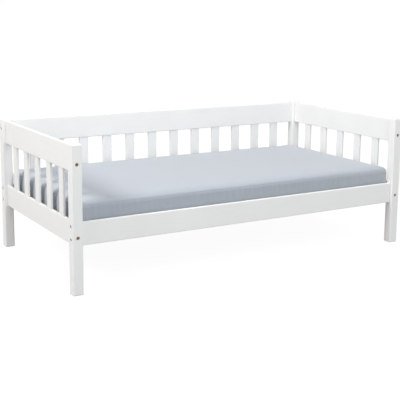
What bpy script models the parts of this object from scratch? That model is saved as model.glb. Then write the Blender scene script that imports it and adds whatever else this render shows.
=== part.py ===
"""A white wooden toddler bed with a loose foam mattress.

Four square posts carry seven rails. The front stays open above one low rail. The back and
both ends are closed by upright slats between a lower rail and a top rail. Connector bolts
pull every rail onto its posts. Ledgers along the front and back rails carry a roll-out
slatted base, and the mattress lies on that.

Metres, +Z up. +X runs along the bed, the open front faces -Y, and the floor is Z = 0.
"""

from math import cos, pi, sin, sqrt

import bmesh
import bpy
from mathutils import Matrix, Vector

for leftover in list(bpy.data.objects):
    bpy.data.objects.remove(leftover, do_unlink=True)

# Overall size
BED_LENGTH = 1.480
BED_WIDTH = 0.757
POST_HEIGHT = 0.531
CONTACT_GAP = 0.0003  # left between pieces that touch

# Posts
POST_SIDE = 0.038
POST_ROUNDING = 0.003

# Rails, centred in the thickness of the posts
RAIL_THICKNESS = 0.014
RAIL_ROUNDING = 0.002
TOP_RAIL_HEIGHT = 0.093
TOP_RAIL_CENTRE_Z = 0.4785
LOWER_RAIL_HEIGHT = 0.0835
LOWER_RAIL_CENTRE_Z = 0.21625

# Upright slats, with a tongue at each end that sits in a mortise in the rail
SLAT_WIDTH = 0.040
SLAT_THICKNESS = 0.009
SLAT_ROUNDING = 0.0015
TONGUE_INSET = 0.001
TONGUE_LENGTH = 0.012
BACK_SLAT_COUNT = 12
BACK_SLAT_TO_POST = 0.080
END_SLAT_COUNT = 5
END_SLAT_TO_POST = 0.0802

# Connector bolts with barrel nuts, measured from the outer face of the post
BOLT_HEAD_RADIUS = 0.0058
BOLT_HEAD_RECESS = 0.0020
BOLT_HEAD_SEAT = 0.0060
BOLT_HEAD_CHAMFER = 0.0008
BOLT_SHANK_RADIUS = 0.0030
BOLT_TIP = 0.076
BOLT_HOLE_RADIUS = 0.0035
BOLT_TIP_ROOM = 0.002  # free depth of the hole past the tip of the bolt
COUNTERBORE_RADIUS = 0.0063
HEX_KEY_SIZE = 0.0040
HEX_KEY_DEPTH = 0.0030
NUT_RADIUS = 0.0050
NUT_LENGTH = 0.012
NUT_SETBACK = 0.030  # from the end of the rail to the nut

# Heights of the bolts, and of the dowel that keeps a rail with one bolt from turning
END_TOP_BOLT_Z = 0.462
END_LOWER_BOLT_Z = 0.2057
BACK_TOP_BOLT_Z = 0.4917
PAIR_UPPER_BOLT_Z = 0.2445
PAIR_LOWER_BOLT_Z = 0.1970
DOWEL_FROM_BOLT = 0.032
DOWEL_RADIUS = 0.004
DOWEL_IN_POST = 0.012
DOWEL_IN_RAIL = 0.015

# Ledgers and the slatted base that lies on them
LEDGER_LENGTH = 1.300
LEDGER_WIDTH = 0.022
LEDGER_HEIGHT = 0.025
LEDGER_ROUNDING = 0.001
LEDGER_TOP_Z = 0.2127
SCREW_SPACING = 0.800
SCREW_RADIUS = 0.0020
SCREW_HEAD_RADIUS = 0.0040
SCREW_HEAD_RIM = 0.0005  # height of the cylindrical rim above the countersink
SCREW_LENGTH = 0.030
BASE_SLAT_COUNT = 12
BASE_SLAT_WIDTH = 0.060
BASE_SLAT_LENGTH = 0.696
BASE_SLAT_THICKNESS = 0.012
STRAP_LENGTH = 1.290
STRAP_WIDTH = 0.025
STRAP_THICKNESS = 0.0016
STRAP_SINK = 0.0004  # the stapled strap bites this far into each slat
STRAP_SPACING = 0.440

# Mattress
MATTRESS_LENGTH = 1.422
MATTRESS_WIDTH = 0.700
MATTRESS_HEIGHT = 0.100
MATTRESS_CORNER = 0.040
MATTRESS_EDGE = 0.020

# Worked out from the sizes above
CLEAR_LENGTH = BED_LENGTH - 2 * POST_SIDE
CLEAR_WIDTH = BED_WIDTH - 2 * POST_SIDE
POST_X = (BED_LENGTH - POST_SIDE) / 2
POST_Y = (BED_WIDTH - POST_SIDE) / 2
TOP_RAIL_UNDERSIDE = TOP_RAIL_CENTRE_Z - TOP_RAIL_HEIGHT / 2
LOWER_RAIL_TOP = LOWER_RAIL_CENTRE_Z + LOWER_RAIL_HEIGHT / 2
SLAT_SHOW = TOP_RAIL_UNDERSIDE - LOWER_RAIL_TOP - 2 * CONTACT_GAP
RAIL_INNER_Y = POST_Y - RAIL_THICKNESS / 2
BASE_SLAT_BOTTOM_Z = LEDGER_TOP_Z + CONTACT_GAP

ROUND_SIDES = 14


def material(name, colour, roughness, metallic=0.0):
    """A plain Principled material."""
    made = bpy.data.materials.new(name)
    made.use_nodes = True
    shader = made.node_tree.nodes["Principled BSDF"]
    shader.inputs["Base Color"].default_value = (*colour, 1.0)
    shader.inputs["Roughness"].default_value = roughness
    shader.inputs["Metallic"].default_value = metallic
    return made


POST_PAINT = material("post_paint", (0.88, 0.88, 0.86), 0.42)
RAIL_PAINT = material("rail_paint", (0.87, 0.88, 0.87), 0.42)
SLAT_PAINT = material("slat_paint", (0.86, 0.87, 0.86), 0.45)
BOLT_BRONZE = material("bolt_bronze", (0.20, 0.13, 0.08), 0.40, 1.0)
BARE_PINE = material("bare_pine", (0.72, 0.55, 0.36), 0.62)
SCREW_ZINC = material("screw_zinc", (0.62, 0.60, 0.52), 0.35, 1.0)
MATTRESS_COVER = material("mattress_cover", (0.50, 0.54, 0.64), 0.90)

BED = bpy.data.objects.new("toddler_bed", None)
bpy.context.collection.objects.link(BED)


# Basic solids

def add_block(bm, size, centre=(0, 0, 0)):
    """Add a box of this size to a bmesh."""
    place = Matrix.Translation(centre) @ Matrix.Diagonal((*size, 1.0))
    return bmesh.ops.create_cube(bm, size=1.0, matrix=place)["verts"]


def round_edges(bm, edges, radius, segments):
    """Round these edges to the radius."""
    bmesh.ops.bevel(bm, geom=list(edges), offset=radius, offset_type="OFFSET", segments=segments,
                    profile=0.5, affect="EDGES", clamp_overlap=True)


def is_upright(edge):
    """True for an edge that runs along Z."""
    start, end = (vert.co for vert in edge.verts)
    return abs((end - start).normalized().z) > 0.9


def rounded_block(size, radius, segments=2):
    """A bmesh box with every edge rounded."""
    bm = bmesh.new()
    add_block(bm, size)
    round_edges(bm, bm.edges, radius, segments)
    return bm


def add_turned(bm, profile, place=Matrix(), sides=ROUND_SIDES):
    """Add a closed turned body to a bmesh. The profile is (distance along +Z, radius) pairs."""
    rings = []
    for distance, radius in profile:
        angles = [2 * pi * side / sides for side in range(sides)]
        points = [Vector((radius * cos(turn), radius * sin(turn), distance)) for turn in angles]
        rings.append([bm.verts.new(place @ point) for point in points])
    bm.faces.new(reversed(rings[0]))
    bm.faces.new(rings[-1])
    for lower, upper in zip(rings, rings[1:]):
        for side in range(sides):
            after = (side + 1) % sides
            bm.faces.new((lower[side], lower[after], upper[after], upper[side]))


def as_mesh(name, bm):
    """Turn a bmesh into a mesh and free it."""
    mesh = bpy.data.meshes.new(name)
    bm.to_mesh(mesh)
    bm.free()
    return mesh


def piece(name, mesh, place, look):
    """A named piece of the bed, put where it belongs."""
    made = bpy.data.objects.new(name, mesh)
    bpy.context.collection.objects.link(made)
    if not mesh.materials:
        mesh.materials.append(look)
    made.parent = BED
    made.matrix_world = place
    return made


def tool(name, bm, place=Matrix()):
    """A helper solid that cuts or joins, and isn't a piece itself."""
    made = bpy.data.objects.new(name, as_mesh(name, bm))
    bpy.context.collection.objects.link(made)
    made.matrix_world = place
    made.hide_render = True
    made.display_type = "WIRE"
    return made


def combine(target, other, operation):
    """Add a Boolean modifier, either DIFFERENCE or UNION."""
    step = target.modifiers.new(operation.lower() + "_" + other.name, "BOOLEAN")
    step.operation = operation
    step.solver = "EXACT"
    step.object = other


def finished_mesh(helper):
    """The mesh of a helper object with its modifiers applied."""
    graph = bpy.context.evaluated_depsgraph_get()
    return bpy.data.meshes.new_from_object(helper.evaluated_get(graph))


# Directions that place the turned bodies, whose own axis is +Z

TO_PLUS_X = Matrix.Rotation(pi / 2, 4, "Y")
TO_MINUS_X = Matrix.Rotation(-pi / 2, 4, "Y")
TO_PLUS_Y = Matrix.Rotation(-pi / 2, 4, "X")


# Connector bolt: its origin is on the outer face of the post, and it runs in along +Z

def bolt_mesh():
    """A bolt with a hexagon socket, screwed into its barrel nut."""
    body = bmesh.new()
    add_turned(body, [
        (BOLT_HEAD_RECESS, BOLT_HEAD_RADIUS - BOLT_HEAD_CHAMFER),
        (BOLT_HEAD_RECESS + BOLT_HEAD_CHAMFER, BOLT_HEAD_RADIUS),
        (BOLT_HEAD_SEAT - CONTACT_GAP, BOLT_HEAD_RADIUS),
        (BOLT_HEAD_SEAT - CONTACT_GAP, BOLT_SHANK_RADIUS),
        (BOLT_TIP - BOLT_HEAD_CHAMFER, BOLT_SHANK_RADIUS),
        (BOLT_TIP, BOLT_SHANK_RADIUS - BOLT_HEAD_CHAMFER),
    ])
    nut = bmesh.new()
    across = Matrix.Translation((0, -NUT_LENGTH / 2, POST_SIDE + NUT_SETBACK)) @ TO_PLUS_Y
    add_turned(nut, [(0, NUT_RADIUS), (NUT_LENGTH, NUT_RADIUS)], across)
    socket = bmesh.new()
    add_turned(socket, [
        (BOLT_HEAD_RECESS - HEX_KEY_DEPTH, HEX_KEY_SIZE / sqrt(3)),
        (BOLT_HEAD_RECESS + HEX_KEY_DEPTH, HEX_KEY_SIZE / sqrt(3)),
    ], sides=6)
    helpers = [tool("bolt_body", body), tool("bolt_nut", nut), tool("bolt_socket", socket)]
    combine(helpers[0], helpers[1], "UNION")
    combine(helpers[0], helpers[2], "DIFFERENCE")
    mesh = finished_mesh(helpers[0])
    for helper in helpers:
        bpy.data.objects.remove(helper, do_unlink=True)
    mesh.name = "connector_bolt"
    mesh.shade_smooth()
    mesh.set_sharp_from_angle(angle=pi / 6)
    return mesh


BOLT_MESH = bolt_mesh()

# Posts collect the holes that the rails' bolts and dowels need
POST_SIGNS = {
    "post_front_left": (-1, -1),
    "post_front_right": (1, -1),
    "post_back_left": (-1, 1),
    "post_back_right": (1, 1),
}
post_holes = {name: bmesh.new() for name in POST_SIGNS}


def post_at(point):
    """The name of the post that this point lies in."""
    return next(name for name, (along, across) in POST_SIGNS.items()
                if along * point.x > 0 and across * point.y > 0)


# Rails: each is built along its own +X, with its inner face towards +Y

class Rail:
    """What one rail is: its size, its place, its fixings and the slats it holds."""

    def __init__(self, name, clear_span, height, centre, heading, end_names,
                 bolts, dowels=(), nuts_from_inside=False, slat_offsets=(), slat_side=0):
        self.name = name
        self.length = clear_span - 2 * CONTACT_GAP
        self.height = height
        self.place = Matrix.Translation(centre) @ Matrix.Rotation(heading, 4, "Z")
        self.centre_z = centre[2]
        self.end_names = end_names
        self.bolts = bolts
        self.dowels = dowels
        self.nuts_from_inside = nuts_from_inside
        self.slat_offsets = slat_offsets
        self.slat_side = slat_side

    def end_frame(self, end, height_z):
        """A frame at the post's outer face whose +Z runs in along the rail; end is -1 or 1."""
        reach = self.length / 2 + CONTACT_GAP + POST_SIDE
        inward = TO_PLUS_X if end < 0 else TO_MINUS_X
        return Matrix.Translation((end * reach, 0, height_z - self.centre_z)) @ inward

    def add_bolt_holes(self, holes, end, bolt_z):
        """The hole for the bolt's shank, and the one that the barrel nut drops into."""
        frame = self.end_frame(end, bolt_z)
        clearance = BOLT_SHANK_RADIUS + CONTACT_GAP
        profile = [(POST_SIDE - CONTACT_GAP, clearance), (BOLT_TIP + BOLT_TIP_ROOM, clearance)]
        add_turned(holes, profile, frame)

    def add_nut_hole(self, holes, end, bolt_z):
        """The barrel nut's hole, open to the inner face or to the underside of the rail."""
        nut_x = end * (self.length / 2 + CONTACT_GAP - NUT_SETBACK)
        nut_z = bolt_z - self.centre_z
        clearance = NUT_RADIUS + CONTACT_GAP
        blind = NUT_LENGTH / 2 + CONTACT_GAP
        if self.nuts_from_inside:
            start = Matrix.Translation((nut_x, -blind, nut_z)) @ TO_PLUS_Y
            depth = blind + RAIL_THICKNESS
        else:
            depth = blind + nut_z + self.height
            start = Matrix.Translation((nut_x, 0, nut_z + blind - depth))
        add_turned(holes, [(0, clearance), (depth, clearance)], start)

    def add_mortises(self, cuts):
        """A pocket for each slat's tongue."""
        pocket = (SLAT_WIDTH - 2 * TONGUE_INSET + 2 * CONTACT_GAP,
                  SLAT_THICKNESS - 2 * TONGUE_INSET + 2 * CONTACT_GAP,
                  2 * (TONGUE_LENGTH + 2 * CONTACT_GAP))
        for offset in self.slat_offsets:
            add_block(cuts, pocket, (offset, 0, self.slat_side * self.height / 2))

    def add_post_holes(self, end):
        """Counterbored bolt holes and dowel holes in the post at one end."""
        for bolt_z in self.bolts:
            frame = self.place @ self.end_frame(end, bolt_z)
            profile = [(-CONTACT_GAP, COUNTERBORE_RADIUS), (BOLT_HEAD_SEAT, COUNTERBORE_RADIUS),
                       (BOLT_HEAD_SEAT, BOLT_HOLE_RADIUS), (POST_SIDE + CONTACT_GAP, BOLT_HOLE_RADIUS)]
            add_turned(post_holes[post_at(frame.translation)], profile, frame)
        for dowel_z in self.dowels:
            frame = self.place @ self.end_frame(end, dowel_z)
            radius = DOWEL_RADIUS + CONTACT_GAP
            profile = [(POST_SIDE - DOWEL_IN_POST - 2 * CONTACT_GAP, radius),
                       (POST_SIDE + CONTACT_GAP, radius)]
            add_turned(post_holes[post_at(frame.translation)], profile, frame)

    def build(self):
        """Make the rail, with its glued dowels, and the bolts at both ends."""
        board = as_mesh(self.name, rounded_block((self.length, RAIL_THICKNESS, self.height), RAIL_ROUNDING))
        rail = piece(self.name, board, self.place, RAIL_PAINT)
        bores, nut_bores, dowels = bmesh.new(), bmesh.new(), bmesh.new()
        for end in (-1, 1):
            self.add_post_holes(end)
            for bolt_z in self.bolts:
                self.add_bolt_holes(bores, end, bolt_z)
                self.add_nut_hole(nut_bores, end, bolt_z)
            for dowel_z in self.dowels:
                profile = [(POST_SIDE - DOWEL_IN_POST, DOWEL_RADIUS),
                           (POST_SIDE + DOWEL_IN_RAIL, DOWEL_RADIUS)]
                add_turned(dowels, profile, self.end_frame(end, dowel_z))
        self.apply(rail, "bolt_bores", bores, "DIFFERENCE")
        self.apply(rail, "nut_bores", nut_bores, "DIFFERENCE")
        if self.slat_offsets:
            mortises = bmesh.new()
            self.add_mortises(mortises)
            self.apply(rail, "mortises", mortises, "DIFFERENCE")
        if self.dowels:
            self.apply(rail, "dowels", dowels, "UNION")
        self.build_bolts()

    def apply(self, rail, label, bm, operation):
        """Combine a helper solid with the rail."""
        combine(rail, tool(self.name + "_" + label, bm, self.place), operation)

    def build_bolts(self):
        """One bolt with its nut for each hole, turned so that the nut lies in its own hole."""
        upright_nut = Matrix.Rotation(pi / 2, 4, "Z")
        for end, end_name in zip((-1, 1), self.end_names):
            for number, bolt_z in enumerate(self.bolts):
                level = ("_upper", "_lower")[number] if len(self.bolts) > 1 else ""
                frame = self.place @ self.end_frame(end, bolt_z)
                if not self.nuts_from_inside:
                    frame = frame @ upright_nut
                piece("bolt_" + self.name + "_" + end_name + level, BOLT_MESH, frame, BOLT_BRONZE)


def even_offsets(count, clear_span, to_post):
    """Centres of evenly pitched slats that leave this gap beside each post."""
    first = -clear_span / 2 + to_post + SLAT_WIDTH / 2
    pitch = -2 * first / (count - 1)
    return [first + pitch * number for number in range(count)]


BACK_OFFSETS = even_offsets(BACK_SLAT_COUNT, CLEAR_LENGTH, BACK_SLAT_TO_POST)
END_OFFSETS = even_offsets(END_SLAT_COUNT, CLEAR_WIDTH, END_SLAT_TO_POST)

RAILS = [
    Rail("front_rail", CLEAR_LENGTH, LOWER_RAIL_HEIGHT, (0, -POST_Y, LOWER_RAIL_CENTRE_Z), 0,
         ("left", "right"), (PAIR_UPPER_BOLT_Z, PAIR_LOWER_BOLT_Z), nuts_from_inside=True),
    Rail("back_lower_rail", CLEAR_LENGTH, LOWER_RAIL_HEIGHT, (0, POST_Y, LOWER_RAIL_CENTRE_Z), pi,
         ("right", "left"), (PAIR_UPPER_BOLT_Z, PAIR_LOWER_BOLT_Z), nuts_from_inside=True,
         slat_offsets=BACK_OFFSETS, slat_side=1),
    Rail("back_top_rail", CLEAR_LENGTH, TOP_RAIL_HEIGHT, (0, POST_Y, TOP_RAIL_CENTRE_Z), pi,
         ("right", "left"), (BACK_TOP_BOLT_Z,), (BACK_TOP_BOLT_Z - DOWEL_FROM_BOLT,),
         slat_offsets=BACK_OFFSETS, slat_side=-1),
]
for side, side_name, heading, end_names in ((-1, "left", -pi / 2, ("back", "front")),
                                            (1, "right", pi / 2, ("front", "back"))):
    RAILS.append(
        Rail(side_name + "_lower_rail", CLEAR_WIDTH, LOWER_RAIL_HEIGHT,
             (side * POST_X, 0, LOWER_RAIL_CENTRE_Z), heading, end_names, (END_LOWER_BOLT_Z,),
             (END_LOWER_BOLT_Z + DOWEL_FROM_BOLT,), slat_offsets=END_OFFSETS, slat_side=1))
    RAILS.append(
        Rail(side_name + "_top_rail", CLEAR_WIDTH, TOP_RAIL_HEIGHT,
             (side * POST_X, 0, TOP_RAIL_CENTRE_Z), heading, end_names, (END_TOP_BOLT_Z,),
             (END_TOP_BOLT_Z + DOWEL_FROM_BOLT,), slat_offsets=END_OFFSETS, slat_side=-1))

for rail_plan in RAILS:
    rail_plan.build()


# Posts

def build_post(name, along, across):
    """A square post with the holes that its rails need."""
    shape = as_mesh(name, rounded_block((POST_SIDE, POST_SIDE, POST_HEIGHT), POST_ROUNDING))
    place = Matrix.Translation((along * POST_X, across * POST_Y, POST_HEIGHT / 2))
    post = piece(name, shape, place, POST_PAINT)
    combine(post, tool(name + "_holes", post_holes[name]), "DIFFERENCE")


for post_name, (along_sign, across_sign) in POST_SIGNS.items():
    build_post(post_name, along_sign, across_sign)


# Upright slats

def slat_mesh():
    """A slat along Z with rounded long edges and a shouldered tongue at each end."""
    bm = bmesh.new()
    add_block(bm, (SLAT_WIDTH, SLAT_THICKNESS, SLAT_SHOW))
    round_edges(bm, [edge for edge in bm.edges if is_upright(edge)], SLAT_ROUNDING, 2)
    for end in (-1, 1):
        face = max(bm.faces, key=lambda candidate: end * candidate.calc_center_median().z)
        bmesh.ops.inset_region(bm, faces=[face], thickness=TONGUE_INSET, use_even_offset=True)
        grown = bmesh.ops.extrude_discrete_faces(bm, faces=[face])["faces"]
        for vert in grown[0].verts:
            vert.co.z += end * TONGUE_LENGTH
    return as_mesh("upright_slat", bm)


SLAT_MESH = slat_mesh()
SLAT_CENTRE_Z = (TOP_RAIL_UNDERSIDE + LOWER_RAIL_TOP) / 2


def build_slats():
    """Slats across the back, numbered from the left, and across each end, from the front."""
    for number, offset in enumerate(BACK_OFFSETS, 1):
        place = Matrix.Translation((offset, POST_Y, SLAT_CENTRE_Z))
        piece(f"back_slat_{number:02d}", SLAT_MESH, place, SLAT_PAINT)
    for end, end_name in ((-1, "left"), (1, "right")):
        for number, offset in enumerate(END_OFFSETS, 1):
            place = Matrix.Translation((end * POST_X, offset, SLAT_CENTRE_Z))
            turned = place @ Matrix.Rotation(pi / 2, 4, "Z")
            piece(f"{end_name}_slat_{number}", SLAT_MESH, turned, SLAT_PAINT)


build_slats()


# Ledgers and their screws. A screw's +Z runs from its head into the rail

def ledger_frame(side, offset):
    """A frame on the ledger's open face whose +Z points at the rail; side is -1 for the front."""
    y = side * (RAIL_INNER_Y - CONTACT_GAP - LEDGER_WIDTH)
    towards_rail = Matrix.Rotation(-side * pi / 2, 4, "X")
    return Matrix.Translation((offset, y, LEDGER_TOP_Z - LEDGER_HEIGHT / 2)) @ towards_rail


def screw_profile(spare):
    """A countersunk screw, or with spare the hole that clears it."""
    head_depth = SCREW_HEAD_RADIUS - SCREW_RADIUS
    return [(-spare, SCREW_HEAD_RADIUS + spare), (SCREW_HEAD_RIM, SCREW_HEAD_RADIUS + spare),
            (SCREW_HEAD_RIM + head_depth, SCREW_RADIUS + spare),
            (SCREW_LENGTH + spare, SCREW_RADIUS + spare)]


def screw_mesh():
    """The screw, without its drive recess."""
    bm = bmesh.new()
    add_turned(bm, screw_profile(0.0))
    mesh = as_mesh("ledger_screw", bm)
    mesh.shade_smooth()
    mesh.set_sharp_from_angle(angle=pi / 6)
    return mesh


SCREW_MESH = screw_mesh()


def build_ledger(name, side):
    """A ledger along a rail's inner face, and the screws that hold it."""
    size = (LEDGER_LENGTH, LEDGER_WIDTH, LEDGER_HEIGHT)
    centre_y = side * (RAIL_INNER_Y - CONTACT_GAP - LEDGER_WIDTH / 2)
    place = Matrix.Translation((0, centre_y, LEDGER_TOP_Z - LEDGER_HEIGHT / 2))
    board = as_mesh("ledger_" + name, rounded_block(size, LEDGER_ROUNDING, 1))
    ledger = piece("ledger_" + name, board, place, BARE_PINE)
    holes = bmesh.new()
    for offset, end_name in ((-SCREW_SPACING / 2, "left"), (SCREW_SPACING / 2, "right")):
        frame = ledger_frame(side, offset)
        add_turned(holes, screw_profile(CONTACT_GAP), frame)
        piece(f"ledger_screw_{name}_{end_name}", SCREW_MESH, frame, SCREW_ZINC)
    cutter = tool("ledger_" + name + "_holes", holes)
    combine(ledger, cutter, "DIFFERENCE")
    rail_name = {"front": "front_rail", "back": "back_lower_rail"}[name]
    combine(bpy.data.objects[rail_name], cutter, "DIFFERENCE")


build_ledger("front", -1)
build_ledger("back", 1)


# Roll-out slatted base: loose slats stapled to two webbing straps

def build_slat_base():
    """The slats and the straps under them, joined into one piece."""
    slats = bmesh.new()
    pitch = (LEDGER_LENGTH - BASE_SLAT_WIDTH) / (BASE_SLAT_COUNT - 1)
    size = (BASE_SLAT_WIDTH, BASE_SLAT_LENGTH, BASE_SLAT_THICKNESS)
    for number in range(BASE_SLAT_COUNT):
        offset = (number - (BASE_SLAT_COUNT - 1) / 2) * pitch
        add_block(slats, size, (offset, 0, BASE_SLAT_BOTTOM_Z + BASE_SLAT_THICKNESS / 2))
    base = piece("roll_out_slat_base", as_mesh("roll_out_slat_base", slats), Matrix(), BARE_PINE)
    straps = bmesh.new()
    strap_size = (STRAP_LENGTH, STRAP_WIDTH, STRAP_THICKNESS)
    strap_z = BASE_SLAT_BOTTOM_Z + STRAP_SINK - STRAP_THICKNESS / 2
    for side in (-1, 1):
        add_block(straps, strap_size, (0, side * STRAP_SPACING / 2, strap_z))
    combine(base, tool("base_straps", straps), "UNION")


build_slat_base()


# Mattress, loose on the slatted base

def build_mattress():
    """A plain foam block with rounded corners and edges."""
    bm = bmesh.new()
    add_block(bm, (MATTRESS_LENGTH, MATTRESS_WIDTH, MATTRESS_HEIGHT))
    round_edges(bm, [edge for edge in bm.edges if is_upright(edge)], MATTRESS_CORNER, 5)
    rims = [edge for edge in bm.edges if not is_upright(edge)]
    round_edges(bm, rims, MATTRESS_EDGE, 3)
    bottom_z = BASE_SLAT_BOTTOM_Z + BASE_SLAT_THICKNESS + CONTACT_GAP
    place = Matrix.Translation((0, 0, bottom_z + MATTRESS_HEIGHT / 2))
    piece("mattress", as_mesh("mattress", bm), place, MATTRESS_COVER)


build_mattress()
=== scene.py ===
# Looks of the white toddler bed: painted wood, bronze bolts, a pine base and a covered mattress.
# Metres, +Z up, the open front faces -Y. Every size that isn't named here comes from the CAD frame.

from math import cos, pi, radians, sin, sqrt

import bmesh
import bpy
from mathutils import Matrix, Vector, noise


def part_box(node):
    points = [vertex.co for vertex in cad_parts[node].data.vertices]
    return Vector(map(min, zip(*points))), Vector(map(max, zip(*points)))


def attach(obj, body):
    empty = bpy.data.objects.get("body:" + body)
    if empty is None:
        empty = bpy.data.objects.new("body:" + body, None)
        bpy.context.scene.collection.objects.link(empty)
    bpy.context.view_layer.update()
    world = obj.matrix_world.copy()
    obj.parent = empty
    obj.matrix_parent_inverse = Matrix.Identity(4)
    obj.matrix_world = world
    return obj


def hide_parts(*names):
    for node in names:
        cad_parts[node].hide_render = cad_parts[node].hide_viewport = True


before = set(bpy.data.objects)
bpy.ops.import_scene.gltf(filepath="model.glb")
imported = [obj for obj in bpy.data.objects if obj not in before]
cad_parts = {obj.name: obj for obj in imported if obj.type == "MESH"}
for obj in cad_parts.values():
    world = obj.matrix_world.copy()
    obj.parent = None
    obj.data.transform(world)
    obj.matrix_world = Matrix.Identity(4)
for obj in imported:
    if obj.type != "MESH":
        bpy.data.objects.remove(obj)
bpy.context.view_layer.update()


# Node materials

class Look:
    """A Principled material whose patterns are laid out in the piece's own coordinates."""

    def __init__(self, name, roughness, metallic=0.0):
        self.material = bpy.data.materials.new(name)
        self.material.use_nodes = True
        self.tree = self.material.node_tree
        self.shader = self.tree.nodes["Principled BSDF"]
        self.shader.inputs["Roughness"].default_value = roughness
        self.shader.inputs["Metallic"].default_value = metallic
        coordinates = self.tree.nodes.new("ShaderNodeTexCoord")
        self.place = coordinates.outputs["Object"]
        self.normal = coordinates.outputs["Normal"]

    def feed(self, socket, value):
        """Link an output to a socket, or set a plain value on it."""
        if isinstance(value, bpy.types.NodeSocket):
            self.tree.links.new(value, socket)
        else:
            socket.default_value = value

    def math(self, operation, first, second=0.0, clamp=False):
        """One Math node."""
        node = self.tree.nodes.new("ShaderNodeMath")
        node.operation = operation
        node.use_clamp = clamp
        self.feed(node.inputs[0], first)
        self.feed(node.inputs[1], second)
        return node.outputs[0]

    def axes(self, vector):
        """The three components of a vector."""
        node = self.tree.nodes.new("ShaderNodeSeparateXYZ")
        self.feed(node.inputs[0], vector)
        return node.outputs

    def noise(self, per_metre, detail=2.0, roughness=0.5):
        """Noise with this many cells per metre along X, Y and Z."""
        stretch = self.tree.nodes.new("ShaderNodeVectorMath")
        stretch.operation = "MULTIPLY"
        self.feed(stretch.inputs[0], self.place)
        stretch.inputs[1].default_value = per_metre
        node = self.tree.nodes.new("ShaderNodeTexNoise")
        self.feed(node.inputs["Vector"], stretch.outputs[0])
        node.inputs["Scale"].default_value = 1.0
        node.inputs["Detail"].default_value = detail
        node.inputs["Roughness"].default_value = roughness
        return node.outputs["Fac"]

    def span(self, value, low, high, to_low=0.0, to_high=1.0):
        """Map a value from one range to another, held inside it."""
        node = self.tree.nodes.new("ShaderNodeMapRange")
        self.feed(node.inputs["Value"], value)
        node.inputs["From Min"].default_value = low
        node.inputs["From Max"].default_value = high
        node.inputs["To Min"].default_value = to_low
        node.inputs["To Max"].default_value = to_high
        return node.outputs["Result"]

    def mix(self, factor, first, second):
        """Mix two colours."""
        node = self.tree.nodes.new("ShaderNodeMix")
        node.data_type = "RGBA"
        self.feed(node.inputs["Factor"], factor)
        for socket, colour in ((node.inputs[6], first), (node.inputs[7], second)):
            self.feed(socket, colour if isinstance(colour, bpy.types.NodeSocket) else (*colour, 1.0))
        return node.outputs[2]

    def edges(self, radius):
        """The normal rounded over the edges, and a mask that is 1 along them."""
        rounded = self.tree.nodes.new("ShaderNodeBevel")
        rounded.samples = 4
        rounded.inputs["Radius"].default_value = radius
        flat = self.tree.nodes.new("ShaderNodeNewGeometry")
        facing = self.tree.nodes.new("ShaderNodeVectorMath")
        facing.operation = "DOT_PRODUCT"
        self.feed(facing.inputs[0], rounded.outputs[0])
        self.feed(facing.inputs[1], flat.outputs["Normal"])
        return rounded.outputs[0], self.span(facing.outputs["Value"], 0.995, 0.88)

    def bump(self, height, depth, strength=1.0, normal=None):
        """A bump of this depth in metres over a normal."""
        node = self.tree.nodes.new("ShaderNodeBump")
        node.inputs["Strength"].default_value = strength
        node.inputs["Distance"].default_value = depth
        self.feed(node.inputs["Height"], height)
        if normal is not None:
            self.feed(node.inputs["Normal"], normal)
        return node.outputs[0]

    def finish(self, colour, roughness, normal):
        """Link the results to the shader."""
        self.feed(self.shader.inputs["Base Color"], colour)
        self.feed(self.shader.inputs["Roughness"], roughness)
        self.feed(self.shader.inputs["Normal"], normal)
        return self.material


def along(axis, slow, fast):
    """Noise cells per metre: slow along the grain's axis and fast across it."""
    return tuple(slow if number == axis else fast for number in range(3))


def tinted(colour, amount):
    """A colour made lighter or darker by this share."""
    return tuple(channel * (1 + amount) for channel in colour)


PAINT_WHITE = (0.850, 0.850, 0.842)
PAINT_UNDERCOAT = (0.70, 0.67, 0.60)
PAINT_ROUGHNESS = 0.40
PAINT_EDGE = 0.0022


def paint_look(name, axis, white):
    """Satin paint over sanded wood: faint grain along the piece, spray texture and rubbed edges."""
    look = Look(name, PAINT_ROUGHNESS)
    cloud = look.noise((5.0, 5.0, 5.0), 3.0)
    grain = look.noise(along(axis, 4.0, 260.0), 4.0, 0.62)
    peel = look.noise((850.0, 850.0, 850.0), 1.0)
    rub = look.noise((42.0, 42.0, 42.0), 4.0, 0.65)
    tone = look.mix(look.span(cloud, 0.3, 0.7), tinted(white, -0.018), tinted(white, 0.010))
    streaked = look.mix(look.span(grain, 0.52, 0.74, 0.0, 0.30), tone, tinted(white, -0.07))
    rounded, edge = look.edges(PAINT_EDGE)
    wear = look.math("MULTIPLY", edge, look.span(rub, 0.54, 0.70, 0.05, 0.42))
    colour = look.mix(wear, streaked, PAINT_UNDERCOAT)
    sheen = look.span(look.math("ADD", cloud, grain), 0.7, 1.3, PAINT_ROUGHNESS - 0.07,
                      PAINT_ROUGHNESS + 0.08)
    roughness = look.math("SUBTRACT", sheen, look.math("MULTIPLY", edge, 0.06))
    raised = look.bump(grain, 0.00035, 0.35, rounded)
    normal = look.bump(peel, 0.00006, 0.5, raised)
    return look.finish(colour, roughness, normal)


BRONZE_DARK = (0.15, 0.090, 0.050)
BRONZE_LIGHT = (0.36, 0.235, 0.140)
BRONZE_RUBBED = (0.62, 0.43, 0.27)


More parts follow.
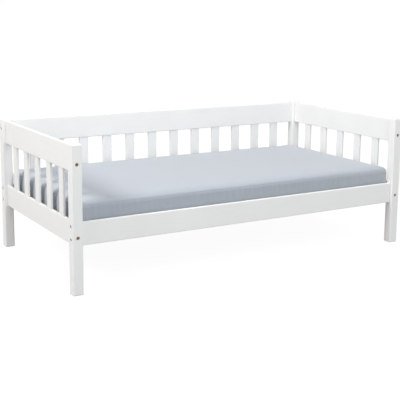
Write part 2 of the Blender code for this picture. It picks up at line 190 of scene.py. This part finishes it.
def bronze_look(name):
    """Dark antique bronze plating, rubbed brighter at the rims."""
    look = Look(name, 0.42, 1.0)
    blotch = look.noise((320.0, 320.0, 320.0), 4.0, 0.6)
    fine = look.noise((2600.0, 2600.0, 2600.0), 2.0)
    rounded, edge = look.edges(0.0007)
    colour = look.mix(look.span(blotch, 0.35, 0.65), BRONZE_DARK, BRONZE_LIGHT)
    rubbed = look.mix(look.math("MULTIPLY", edge, look.span(blotch, 0.4, 0.6, 0.25, 0.8)),
                      colour, BRONZE_RUBBED)
    roughness = look.span(blotch, 0.3, 0.7, 0.34, 0.52)
    return look.finish(rubbed, roughness, look.bump(fine, 0.00003, 0.6, rounded))


PINE_LIGHT = (0.70, 0.52, 0.33)
PINE_DARK = (0.50, 0.31, 0.16)
PINE_KNOT = (0.25, 0.12, 0.05)


def pine_look(name, axis):
    """Sawn pine: wavy growth lines along the piece, a few knots, and lighter worn edges."""
    look = Look(name, 0.62)
    wander = look.noise(along(axis, 3.0, 14.0), 3.0)
    lines = look.tree.nodes.new("ShaderNodeTexWave")
    lines.bands_direction = "DIAGONAL"
    lines.inputs["Scale"].default_value = 1.0
    lines.inputs["Distortion"].default_value = 5.0
    lines.inputs["Detail"].default_value = 3.0
    stretch = look.tree.nodes.new("ShaderNodeVectorMath")
    stretch.operation = "MULTIPLY"
    look.feed(stretch.inputs[0], look.place)
    stretch.inputs[1].default_value = along(axis, 1.6, 48.0)
    look.feed(lines.inputs["Vector"], stretch.outputs[0])
    fibre = look.noise(along(axis, 30.0, 900.0), 3.0, 0.6)
    knots = look.noise(along(axis, 5.0, 9.0), 0.0)
    growth = look.math("ADD", look.math("MULTIPLY", lines.outputs["Fac"], 0.6),
                       look.math("MULTIPLY", wander, 0.5))
    grained = look.mix(look.span(growth, 0.25, 0.95), PINE_LIGHT, PINE_DARK)
    fibred = look.mix(look.span(fibre, 0.5, 0.8, 0.0, 0.35), grained, PINE_DARK)
    knotted = look.mix(look.span(knots, 0.70, 0.76, 0.0, 0.85), fibred, PINE_KNOT)
    rounded, edge = look.edges(0.0015)
    colour = look.mix(look.math("MULTIPLY", edge, 0.35), knotted, tinted(PINE_LIGHT, 0.15))
    roughness = look.span(fibre, 0.3, 0.7, 0.52, 0.72)
    normal = look.bump(look.math("ADD", fibre, growth), 0.0003, 0.5, rounded)
    return look.finish(colour, roughness, normal)


ZINC_DARK = (0.50, 0.42, 0.24)
ZINC_LIGHT = (0.66, 0.62, 0.48)
ZINC_RUBBED = (0.80, 0.78, 0.70)


def zinc_look(name):
    """Yellow-zinc plated screws with scuffs."""
    look = Look(name, 0.35, 1.0)
    blotch = look.noise((500.0, 500.0, 500.0), 4.0, 0.6)
    rounded, edge = look.edges(0.0005)
    colour = look.mix(look.span(blotch, 0.35, 0.65), ZINC_DARK, ZINC_LIGHT)
    bright = look.mix(look.math("MULTIPLY", edge, 0.5), colour, ZINC_RUBBED)
    return look.finish(bright, look.span(blotch, 0.3, 0.7, 0.26, 0.45),
                       look.bump(blotch, 0.00004, 0.5, rounded))


STEEL_DARK = (0.45, 0.45, 0.46)
STEEL_LIGHT = (0.66, 0.66, 0.67)


def staple_look(name):
    """Bright steel wire."""
    look = Look(name, 0.30, 1.0)
    scuff = look.noise((900.0, 900.0, 900.0), 3.0)
    colour = look.mix(look.span(scuff, 0.35, 0.65), STEEL_DARK, STEEL_LIGHT)
    return look.finish(colour, look.span(scuff, 0.3, 0.7, 0.22, 0.42),
                       look.bump(scuff, 0.00003, 0.5))


def ripple(look, coordinate, pitch):
    """A sine of one coordinate with this pitch in metres."""
    return look.math("SINE", look.math("MULTIPLY", coordinate, 2 * pi / pitch))


def weave(look, pitch):
    """A plain weave laid on each side of a piece by the way the side faces, from -1 to 1."""
    waves = [ripple(look, axis, pitch) for axis in look.axes(look.place)]
    facing = [look.math("ABSOLUTE", axis) for axis in look.axes(look.normal)]
    total = None
    for face in range(3):
        first, second = (waves[axis] for axis in range(3) if axis != face)
        part = look.math("MULTIPLY", look.math("MULTIPLY", first, second), facing[face])
        total = part if total is None else look.math("ADD", total, part)
    return total


WEBBING_CREAM = (0.62, 0.60, 0.54)
WEBBING_THREAD = 0.0030
WEBBING_RIB = 0.0042


def webbing_look(name):
    """Cream cotton webbing with a coarse weave and ribs along it, with painted shade in the low parts of
    the weave and ribs.
    """
    look = Look(name, 0.85)
    woven = weave(look, WEBBING_THREAD)
    rib = ripple(look, look.axes(look.place)[1], WEBBING_RIB)
    soil = look.noise((30.0, 60.0, 60.0), 3.0)
    height = look.math("ADD", woven, look.math("MULTIPLY", rib, 0.6))
    # Painted shade: the cream is darkened where the weave and ribs dip, standing in for shade in their
    # valleys.
    colour = look.mix(look.span(height, -1.2, 1.2, 0.55, 0.0), WEBBING_CREAM, tinted(WEBBING_CREAM, -0.30))
    soiled = look.mix(look.span(soil, 0.45, 0.75, 0.0, 0.30), colour, tinted(WEBBING_CREAM, -0.22))
    return look.finish(soiled, look.span(soil, 0.3, 0.7, 0.78, 0.92), look.bump(height, 0.00035, 0.8))


COVER_BLUE = (0.418, 0.452, 0.505)
COVER_THREAD = 0.0021
COVER_SHEEN = 0.45
SEAM_BELOW_TOP = 0.017
SEAM_ABOVE_BOTTOM = 0.015
SEAM_WIDTH = 0.0016
STITCH_PITCH = 0.0042


def seam_mask(look, heights):
    """1 along the sewn seams that run round the mattress at these heights."""
    level = look.axes(look.place)[2]
    total = None
    for height in heights:
        away = look.math("ABSOLUTE", look.math("SUBTRACT", level, height))
        line = look.span(away, SEAM_WIDTH * 0.35, SEAM_WIDTH, 1.0, 0.0)
        total = line if total is None else look.math("MAXIMUM", total, line)
    return total


def cover_look(name, seam_heights):
    """Blue-grey woven cotton: thread relief, slubs both ways, soft fading and stitched seams, with painted
    shade in the weave's valleys and along the seam grooves.
    """
    look = Look(name, 0.88)
    look.shader.inputs["Sheen Weight"].default_value = COVER_SHEEN
    look.shader.inputs["Sheen Roughness"].default_value = 0.55
    look.shader.inputs["Sheen Tint"].default_value = (0.96, 0.98, 1.0, 1.0)
    look.shader.inputs["Specular IOR Level"].default_value = 0.25
    threads = weave(look, COVER_THREAD)
    warp = look.noise((9.0, 420.0, 420.0), 2.0)
    weft = look.noise((420.0, 9.0, 9.0), 2.0)
    fade = look.noise((3.5, 3.5, 6.0), 3.0)
    fuzz = look.noise((1300.0, 1300.0, 1300.0), 2.0)
    x, y, _ = look.axes(look.place)
    slub = look.math("ADD", warp, weft)
    faded = look.mix(look.span(fade, 0.3, 0.7), tinted(COVER_BLUE, -0.035), tinted(COVER_BLUE, 0.035))
    slubbed = look.mix(look.span(slub, 0.80, 1.25, 0.0, 0.55), tinted(COVER_BLUE, -0.10), faded)
    # Painted shade: the cloth is darkened where the woven threads dip, standing in for shade in the
    # valleys of the weave.
    thread_valley_shaded = look.mix(look.span(threads, -1.0, 1.0, 0.30, 0.0), slubbed, tinted(COVER_BLUE, -0.22))
    seam = seam_mask(look, seam_heights)
    stitch = look.math("MULTIPLY", seam, look.span(
        ripple(look, look.math("ADD", x, y), STITCH_PITCH), -0.2, 0.3))
    # Painted shade: a darker line along each seam, standing in for the shade in the sewn groove.
    seam_groove_shaded = look.mix(look.math("MULTIPLY", seam, 0.45), thread_valley_shaded, tinted(COVER_BLUE, -0.40))
    colour = look.mix(look.math("MULTIPLY", stitch, 0.55), seam_groove_shaded, tinted(COVER_BLUE, 0.25))
    roughness = look.span(fuzz, 0.3, 0.7, 0.82, 0.95)
    height = look.math("ADD", threads, look.math("MULTIPLY", slub, 0.8))
    woven = look.bump(height, 0.00022, 0.7)
    fuzzy = look.bump(fuzz, 0.00012, 0.5, woven)
    sewn = look.bump(look.math("SUBTRACT", look.math("MULTIPLY", stitch, 0.5), seam), 0.0008, 0.9, fuzzy)
    return look.finish(colour, roughness, sewn)


# Mesh helpers

def as_object(name, bm, look, smooth_angle=radians(35)):
    """Turn a bmesh into a shaded object at the origin."""
    mesh = bpy.data.meshes.new(name)
    bm.to_mesh(mesh)
    bm.free()
    mesh.materials.append(look)
    mesh.shade_smooth()
    mesh.set_sharp_from_angle(angle=smooth_angle)
    made = bpy.data.objects.new(name, mesh)
    bpy.context.collection.objects.link(made)
    return made


def applied_mesh(helper):
    """The mesh of an object with its modifiers applied."""
    graph = bpy.context.evaluated_depsgraph_get()
    return bpy.data.meshes.new_from_object(helper.evaluated_get(graph))


def rounded_box(bm, low, high, radius, segments):
    """Add a box between two corners with all its edges rounded."""
    part = bmesh.new()
    place = Matrix.Translation((low + high) / 2) @ Matrix.Diagonal((*(high - low), 1.0))
    bmesh.ops.create_cube(part, size=1.0, matrix=place)
    bmesh.ops.bevel(part, geom=list(part.edges), offset=radius, offset_type="OFFSET",
                    segments=segments, profile=0.5, affect="EDGES")
    scratch = bpy.data.meshes.new("scratch")
    part.to_mesh(scratch)
    part.free()
    bm.from_mesh(scratch)
    bpy.data.meshes.remove(scratch)


def add_turned(bm, profile, sides, place=Matrix(), turn=0.0):
    """Add a closed turned body. The profile is (distance along +Z, radius) pairs."""
    rings = []
    for distance, radius in profile:
        angles = [turn + 2 * pi * side / sides for side in range(sides)]
        rings.append([bm.verts.new(place @ Vector((radius * cos(a), radius * sin(a), distance)))
                      for a in angles])
    bm.faces.new(reversed(rings[0]))
    bm.faces.new(rings[-1])
    for lower, upper in zip(rings, rings[1:]):
        for side in range(sides):
            after = (side + 1) % sides
            bm.faces.new((lower[side], lower[after], upper[after], upper[side]))


# Painted wood: the CAD shapes are right, so they keep their meshes and take finished paint

X_AXIS, Y_AXIS, Z_AXIS = range(3)
POST_LOOK = paint_look("post_paint", Z_AXIS, PAINT_WHITE)
LONG_RAIL_LOOK = paint_look("long_rail_paint", X_AXIS, PAINT_WHITE)
END_RAIL_LOOK = paint_look("end_rail_paint", Y_AXIS, PAINT_WHITE)
SLAT_LOOK = paint_look("slat_paint", Z_AXIS, tinted(PAINT_WHITE, -0.01))
BRONZE_LOOK = bronze_look("bolt_bronze")
LEDGER_LOOK = pine_look("ledger_pine", X_AXIS)
BASE_LOOK = pine_look("base_pine", Y_AXIS)
ZINC_LOOK = zinc_look("screw_zinc")
STAPLE_LOOK = staple_look("staple_steel")
WEBBING_LOOK = webbing_look("strap_webbing")


def cad_look(name):
    """The material of a CAD node, whether it stays or a finer piece replaces it."""
    if name.startswith("post_"):
        return POST_LOOK
    if name.startswith("ledger_screw"):
        return ZINC_LOOK
    if name.startswith("ledger_"):
        return LEDGER_LOOK
    if name.startswith("bolt_"):
        return BRONZE_LOOK
    if "_slat_" in name and not name.startswith("roll_out"):
        return SLAT_LOOK
    if name.startswith(("front_rail", "back_")):
        return LONG_RAIL_LOOK
    if name.endswith("_rail"):
        return END_RAIL_LOOK
    return BASE_LOOK


for node_name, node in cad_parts.items():
    node.data.materials.clear()
    node.data.materials.append(cad_look(node_name))


# Connector bolts and barrel nuts, finer than the CAD's. The origin is on the post's outer face
# and +Z runs in along the rail; the nut lies along local Y.

BOLT_RECESS = 0.0020
BOLT_SIDES = 40
BOLT_PROFILE = (
    (0.0020, 0.0044), (0.00205, 0.0049), (0.0022, 0.0053), (0.0025, 0.0056), (0.0029, 0.0058),
    (0.0056, 0.0058), (0.0056, 0.0030), (0.0751, 0.0030), (0.0760, 0.0023),
)
SOCKET_ACROSS_FLATS = 0.0040
SOCKET_DEPTH = 0.0028
NUT_FROM_FACE = 0.068
NUT_HALF = 0.0060
NUT_RADIUS = 0.0050
NUT_CHAMFER = 0.0004
NUT_RIM_SHARE = 0.92
NUT_SLOT = (0.0012, 0.0014)


def bolt_mesh():
    """A turned bolt with a hexagon socket in a slotted barrel nut."""
    body, nut, cuts = bmesh.new(), bmesh.new(), bmesh.new()
    add_turned(body, BOLT_PROFILE, BOLT_SIDES)
    across = Matrix.Translation((0, 0, NUT_FROM_FACE)) @ Matrix.Rotation(-pi / 2, 4, "X")
    rim = NUT_RADIUS * NUT_RIM_SHARE
    add_turned(nut, ((-NUT_HALF, rim), (-NUT_HALF + NUT_CHAMFER, NUT_RADIUS),
                     (NUT_HALF - NUT_CHAMFER, NUT_RADIUS), (NUT_HALF, rim)), BOLT_SIDES, across)
    add_turned(cuts, ((BOLT_RECESS - SOCKET_DEPTH, SOCKET_ACROSS_FLATS / sqrt(3)),
                      (BOLT_RECESS + SOCKET_DEPTH, SOCKET_ACROSS_FLATS / sqrt(3))), 6)
    slot_low = Vector((-NUT_SLOT[0] / 2, NUT_HALF - NUT_SLOT[1], NUT_FROM_FACE - 2 * NUT_RADIUS))
    slot_high = Vector((NUT_SLOT[0] / 2, 2 * NUT_HALF, NUT_FROM_FACE + 2 * NUT_RADIUS))
    place = Matrix.Translation((slot_low + slot_high) / 2) @ Matrix.Diagonal((*(slot_high - slot_low), 1))
    bmesh.ops.create_cube(cuts, size=1.0, matrix=place)
    helpers = [as_object("bolt_" + part, bm, BRONZE_LOOK)
               for part, bm in (("body", body), ("nut", nut), ("cuts", cuts))]
    for other, operation in ((helpers[1], "UNION"), (helpers[2], "DIFFERENCE")):
        step = helpers[0].modifiers.new(operation, "BOOLEAN")
        step.operation = operation
        step.solver = "EXACT"
        step.object = other
    mesh = applied_mesh(helpers[0])
    for helper in helpers:
        bpy.data.objects.remove(helper)
    mesh.name = "connector_bolt"
    mesh.shade_smooth()
    mesh.set_sharp_from_angle(angle=radians(38))
    return mesh


def bolt_frame(node_name):
    """Where the CAD has this bolt: the outer face of its post, looking in along the rail."""
    low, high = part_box(node_name)
    size, centre = high - low, (low + high) / 2
    axis = max(range(3), key=lambda number: size[number])
    outward = 1.0 if centre[axis] > 0 else -1.0
    inward = Vector([-outward if number == axis else 0.0 for number in range(3)])
    nut_is_level = "front_rail" in node_name or "back_lower_rail" in node_name
    nut_axis = Vector((0, 1.0 if centre.y < 0 else -1.0, 0)) if nut_is_level else Vector((0, 0, -1.0))
    origin = centre.copy()
    origin[axis] = (high if outward > 0 else low)[axis] + outward * BOLT_RECESS
    sideways = nut_axis.cross(inward)
    turn = Matrix((sideways, nut_axis, inward)).transposed().to_4x4()
    return Matrix.Translation(origin) @ turn


BOLT_MESH = bolt_mesh()
for node_name in sorted(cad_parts):
    if node_name.startswith("bolt_"):
        bolt = bpy.data.objects.new("fine_" + node_name, BOLT_MESH)
        bpy.context.collection.objects.link(bolt)
        bolt.matrix_world = bolt_frame(node_name)
        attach(bolt, "bed_frame")
        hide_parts(node_name)


# Roll-out slatted base: separate slats, webbing straps stapled under them

BASE_SLATS = 12
BASE_SLAT_WIDTH = 0.060
BASE_SLAT_THICKNESS = 0.012
BASE_SLAT_ROUNDING = 0.0016
BASE_SLAT_UNEVEN = 0.0006
STRAP_OFFSET = 0.220
STRAP_WIDTH = 0.025
STRAP_THICKNESS = 0.0012
STRAP_SAG = 0.0012
STRAP_END = 0.005
STRAP_GAP = 0.0001
STRAP_SOFT_EDGE = 0.0006
STRAP_STEPS_PER_SLAT = 12
STAPLE_WIDTH = 0.011
STAPLE_WIRE = 0.0011
STAPLE_ROUNDING = 0.3 * STAPLE_WIRE
STAPLE_SHIFT = 0.012

base_low, base_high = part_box("roll_out_slat_base")
SLAT_PITCH = (base_high.x - base_low.x - BASE_SLAT_WIDTH) / (BASE_SLATS - 1)
SLAT_CENTRES = [base_low.x + BASE_SLAT_WIDTH / 2 + SLAT_PITCH * number for number in range(BASE_SLATS)]
SLAT_UNDERSIDE = base_high.z - BASE_SLAT_THICKNESS


def base_slats():
    """The twelve loose slats."""
    bm = bmesh.new()
    for number, centre in enumerate(SLAT_CENTRES):
        uneven = BASE_SLAT_UNEVEN * noise.noise(Vector((number * 1.7, 0.3, 0.1)))
        low = Vector((centre - BASE_SLAT_WIDTH / 2, base_low.y + abs(uneven), SLAT_UNDERSIDE))
        high = Vector((centre + BASE_SLAT_WIDTH / 2, base_high.y - abs(uneven), base_high.z))
        rounded_box(bm, low, high, BASE_SLAT_ROUNDING, 3)
    return as_object("base_slats", bm, BASE_LOOK)


def strap_height(x):
    """How far a strap hangs below the slats: tight under a slat, a little slack between two."""
    phase = (x - SLAT_CENTRES[0]) / SLAT_PITCH
    slack = sin(pi * (phase % 1.0)) ** 2
    return STRAP_SAG * slack


def base_straps():
    """Two flat webbing straps with soft long edges."""
    bm = bmesh.new()
    steps = BASE_SLATS * STRAP_STEPS_PER_SLAT
    length = base_high.x - base_low.x - 2 * STRAP_END
    for side in (-1, 1):
        rings = []
        for step in range(steps + 1):
            x = base_low.x + STRAP_END + length * step / steps
            top = SLAT_UNDERSIDE - STRAP_GAP - strap_height(x)
            half, thick = STRAP_WIDTH / 2, STRAP_THICKNESS
            shoulder = half - STRAP_SOFT_EDGE
            outline = ((-half, -0.5), (-shoulder, -0.1), (0.0, 0.0), (shoulder, -0.1),
                       (half, -0.5), (shoulder, -0.9), (0.0, -1.0), (-shoulder, -0.9))
            rings.append([bm.verts.new((x, side * STRAP_OFFSET + y, top + z * thick)) for y, z in outline])
        bm.faces.new(rings[0])
        bm.faces.new(reversed(rings[-1]))
        for before, after in zip(rings, rings[1:]):
            for number in range(len(before)):
                following = (number + 1) % len(before)
                bm.faces.new((before[number], after[number], after[following], before[following]))
    bmesh.ops.recalc_face_normals(bm, faces=bm.faces)
    return as_object("base_straps", bm, WEBBING_LOOK, radians(50))


def base_staples():
    """Two staples at each crossing, their crowns across the strap."""
    bm = bmesh.new()
    for centre in SLAT_CENTRES:
        for side in (-1, 1):
            for shift in (-STAPLE_SHIFT, STAPLE_SHIFT):
                below = STRAP_THICKNESS + STAPLE_WIRE / 2 + strap_height(centre + shift)
                middle = Vector((centre + shift, side * STRAP_OFFSET, SLAT_UNDERSIDE - below))
                half = Vector((STAPLE_WIRE / 2, STAPLE_WIDTH / 2, STAPLE_WIRE / 2))
                rounded_box(bm, middle - half, middle + half, STAPLE_ROUNDING, 2)
    return as_object("base_staples", bm, STAPLE_LOOK)


base = base_slats()
for made in (base, base_straps(), base_staples()):
    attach(made, "bed_frame")
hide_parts("roll_out_slat_base")


# Mattress: a foam block in a woven cover, swollen by a cloth simulation

START_INSET = 0.0045  # the block starts this much inside the CAD solid, because pressure swells it
START_SIDE_INSET = 0.0025
START_DROP = 0.0030
CORNER_RADIUS = 0.010
EDGE_RADIUS = 0.022
VOXEL = 0.006
PRESSURE = 4.0
LAST_FRAME = 20
SWELL_CAP = 0.0055
TOUCH_GAP = 0.0002  # between the finished cover and the wood
RIPPLE_ROOM = 0.0010  # kept free while it swells, for the ripples that come after
SQUEEZE = 0.022  # over this distance from the posts the ends bulge out towards the end slats
CROWN_ROOM = 0.0030
RIPPLE_DEPTH = 0.0013
RIPPLE_LENGTH = 0.016
PUCKER_DEPTH = 0.0007
PUCKER_LENGTH = 0.09
SEAM_REACH = 0.6 * VOXEL  # how far above and below a seam its pucker fades out
DENT_DEPTH = 0.0010
DENT_LENGTH = 0.34

pad_low, pad_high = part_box("mattress")
post_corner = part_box("post_back_right")[0]
side_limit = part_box("back_lower_rail")[0].y - TOUCH_GAP
COVER_LOOK = cover_look("mattress_cover", (pad_high.z - SEAM_BELOW_TOP, pad_low.z + SEAM_ABOVE_BOTTOM))


def foam_block():
    """The block before it swells, remeshed into even cells."""
    low = pad_low + Vector((START_INSET, START_SIDE_INSET, 0.0))
    high = pad_high - Vector((START_INSET, START_SIDE_INSET, START_DROP))
    bm = bmesh.new()
    place = Matrix.Translation((low + high) / 2) @ Matrix.Diagonal((*(high - low), 1.0))
    bmesh.ops.create_cube(bm, size=1.0, matrix=place)
    for upright, radius, segments in ((True, CORNER_RADIUS, 8), (False, EDGE_RADIUS, 6)):
        chosen = [edge for edge in bm.edges
                  if (abs(edge.verts[0].co.z - edge.verts[1].co.z) > VOXEL) == upright]
        bmesh.ops.bevel(bm, geom=chosen, offset=radius, offset_type="OFFSET", segments=segments,
                        profile=0.5, affect="EDGES")
    pad = as_object("mattress_cover", bm, COVER_LOOK)
    step = pad.modifiers.new("remesh", "REMESH")
    step.mode = "VOXEL"
    step.voxel_size = VOXEL
    mesh = applied_mesh(pad)
    pad.modifiers.clear()
    pad.data = mesh
    return pad


def swell(pad):
    """Run the cloth simulation under pressure and keep where it puts each point."""
    cloth = pad.modifiers.new("cloth", "CLOTH")
    settings = cloth.settings
    settings.quality = 4
    settings.mass = 0.3
    settings.tension_stiffness = 20.0
    settings.compression_stiffness = 20.0
    settings.shear_stiffness = 10.0
    settings.bending_stiffness = 4.0
    settings.use_pressure = True
    settings.uniform_pressure_force = PRESSURE
    settings.effector_weights.gravity = 0.0
    cloth.point_cache.frame_start = 1
    cloth.point_cache.frame_end = LAST_FRAME
    for number in range(1, LAST_FRAME + 1):
        bpy.context.scene.frame_set(number)
    graph = bpy.context.evaluated_depsgraph_get()
    swollen = [vert.co.copy() for vert in pad.evaluated_get(graph).data.vertices]
    pad.modifiers.clear()
    bpy.context.scene.frame_set(1)
    return swollen


def end_limit(y):
    """How far from the middle the mattress may reach: to the posts, and further between them."""
    between_posts = max(0.0, min(1.0, (post_corner.y - TOUCH_GAP - abs(y)) / SQUEEZE))
    eased = between_posts * between_posts * (3 - 2 * between_posts)
    at_post = post_corner.x - TOUCH_GAP
    return at_post + (pad_high.x - at_post) * eased


def confined(place, spare):
    """The place brought off the posts and rails, with some room to spare, and flat on the slats."""
    reach = end_limit(place.y) - spare
    beside = side_limit - spare
    return Vector((min(max(place.x, -reach), reach), min(max(place.y, -beside), beside),
                   min(max(place.z, pad_low.z), pad_high.z + CROWN_ROOM)))


def settle(pad, swollen):
    """Cap how far each point moved, keep it off the posts and rails and flat on the slats."""
    for vert, target in zip(pad.data.vertices, swollen):
        move = target - vert.co
        move *= SWELL_CAP / (SWELL_CAP + move.length)
        vert.co = confined(vert.co + move, RIPPLE_ROOM)


def fold_cover(pad):
    """Fine upright ripples in the side panels, puckers at the seams and shallow dents on top."""
    tall = pad_high.z - pad_low.z
    normals = [vert.normal.copy() for vert in pad.data.vertices]
    for vert, normal in zip(pad.data.vertices, normals):
        place = vert.co
        round_it = place.x + place.y * (1 if place.x * place.y > 0 else -1)
        side = max(0.0, 1 - abs(normal.z) * 1.3)
        height = (place.z - pad_low.z) / tall
        near_top = max(0.0, min(1.0, (height - 0.25) / 0.55))
        fine = noise.noise(Vector((round_it / RIPPLE_LENGTH, place.z / (6 * RIPPLE_LENGTH), 0.7)))
        broad = noise.noise(Vector((round_it / PUCKER_LENGTH, place.z / PUCKER_LENGTH, 3.1)))
        shift = side * (RIPPLE_DEPTH * fine * (0.25 + near_top) + PUCKER_DEPTH * broad)
        if normal.z > 0:
            wave = noise.noise(Vector((place.x / DENT_LENGTH, place.y / DENT_LENGTH, 5.3)))
            shift += normal.z * DENT_DEPTH * (wave - 0.2) * 0.8
        for seam in (pad_high.z - SEAM_BELOW_TOP, pad_low.z + SEAM_ABOVE_BOTTOM):
            shift -= side * PUCKER_DEPTH * max(0.0, 1 - abs(place.z - seam) / SEAM_REACH)
        vert.co = confined(place + normal * shift, 0.0)


mattress = foam_block()
settle(mattress, swell(mattress))
finer = mattress.modifiers.new("finer", "SUBSURF")
finer.levels = finer.render_levels = 1
smooth_mesh = applied_mesh(mattress)
mattress.modifiers.clear()
mattress.data = smooth_mesh
fold_cover(mattress)
mattress.data.materials.clear()
mattress.data.materials.append(COVER_LOOK)
mattress.data.shade_smooth()
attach(mattress, "mattress")
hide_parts("mattress")


# Floor, lights and camera

FLOOR_HALF = 800.0  # far enough that its edge lies above the picture
FLOOR_GREY = 0.10
FLOOR_GLOW = 0.93  # lifts the pale floor to the photograph's clean white, with faint shadows

floor_mesh = bpy.data.meshes.new("floor")
floor_mesh.from_pydata([(-FLOOR_HALF, -FLOOR_HALF, 0), (FLOOR_HALF, -FLOOR_HALF, 0),
                        (FLOOR_HALF, FLOOR_HALF, 0), (-FLOOR_HALF, FLOOR_HALF, 0)], [], [(0, 1, 2, 3)])
floor_material = bpy.data.materials.new("floor")
floor_material.use_nodes = True
floor_shader = floor_material.node_tree.nodes["Principled BSDF"]
floor_shader.inputs["Base Color"].default_value = (FLOOR_GREY, FLOOR_GREY, FLOOR_GREY, 1.0)
floor_shader.inputs["Roughness"].default_value = 0.9
floor_shader.inputs["Emission Color"].default_value = (1.0, 1.0, 1.0, 1.0)
floor_shader.inputs["Emission Strength"].default_value = FLOOR_GLOW
floor_mesh.materials.append(floor_material)
floor = bpy.data.objects.new("floor", floor_mesh)
bpy.context.collection.objects.link(floor)
floor.visible_diffuse = False  # its glow doesn't light the bed; the world below the horizon does

# Brightness of the studio by height: grey below and high up, with a narrow white band at the horizon
SKY = ((0.0, 0.34), (0.49, 0.34), (0.50, 1.02), (0.52, 1.00), (0.62, 0.42))
world = bpy.data.worlds.new("studio")
bpy.context.scene.world = world
world.use_nodes = True
sky_nodes, sky_links = world.node_tree.nodes, world.node_tree.links
direction = sky_nodes.new("ShaderNodeTexCoord")
split = sky_nodes.new("ShaderNodeSeparateXYZ")
level = sky_nodes.new("ShaderNodeMapRange")
level.inputs["From Min"].default_value = -1.0
ramp = sky_nodes.new("ShaderNodeValToRGB").color_ramp
for number, (position, brightness) in enumerate(SKY):
    stop = ramp.elements[number] if number < 2 else ramp.elements.new(position)
    stop.position = position
    stop.color = (brightness, brightness, brightness, 1.0)
sky_links.new(direction.outputs["Generated"], split.inputs[0])
sky_links.new(split.outputs["Z"], level.inputs["Value"])
sky_links.new(level.outputs["Result"], sky_nodes["Color Ramp"].inputs["Fac"])
sky_links.new(sky_nodes["Color Ramp"].outputs["Color"], sky_nodes["Background"].inputs["Color"])


def add_light(name, place, target, size, power, colour):
    """A square area light that points at a target."""
    lamp = bpy.data.lights.new(name, "AREA")
    lamp.size = size
    lamp.energy = power
    lamp.color = colour
    made = bpy.data.objects.new(name, lamp)
    bpy.context.collection.objects.link(made)
    made.location = place
    made.rotation_euler = (Vector(target) - Vector(place)).to_track_quat("-Z", "Y").to_euler()


BED_MIDDLE = (0.0, 0.0, 0.35)
add_light("key_from_left", (-3.35, -0.45, 3.15), BED_MIDDLE, 1.45, 112, (1.0, 0.985, 0.96))
add_light("overhead", (0.3, 0.2, 3.0), BED_MIDDLE, 2.2, 27, (1.0, 0.99, 0.96))
add_light("front_high", (-0.45, -3.3, 2.6), BED_MIDDLE, 2.0, 72, (0.94, 0.975, 1.0))
add_light("fill_from_right", (4.5, -2.5, 2.2), BED_MIDDLE, 2.5, 20, (1.0, 1.0, 1.0))

CAMERA_PLACE = (-1.887, -3.185, 1.026)
CAMERA_YAW = 31.44
CAMERA_PITCH = 10.23
CAMERA_ROLL = 0.64
CAMERA_LENS = 81.51
CAMERA_SENSOR = 36.0
CAMERA_SHIFT = (-0.04, -0.10)

camera_data = bpy.data.cameras.new("camera")
camera_data.sensor_width = CAMERA_SENSOR
camera_data.lens = CAMERA_LENS
camera_data.shift_x, camera_data.shift_y = CAMERA_SHIFT
camera = bpy.data.objects.new("camera", camera_data)
bpy.context.collection.objects.link(camera)
camera.matrix_world = (Matrix.Translation(CAMERA_PLACE)
                       @ Matrix.Rotation(radians(-CAMERA_YAW), 4, "Z")
                       @ Matrix.Rotation(radians(90 - CAMERA_PITCH), 4, "X")
                       @ Matrix.Rotation(radians(CAMERA_ROLL), 4, "Z"))
bpy.context.scene.camera = camera
bpy.context.scene.view_settings.view_transform = "Standard"
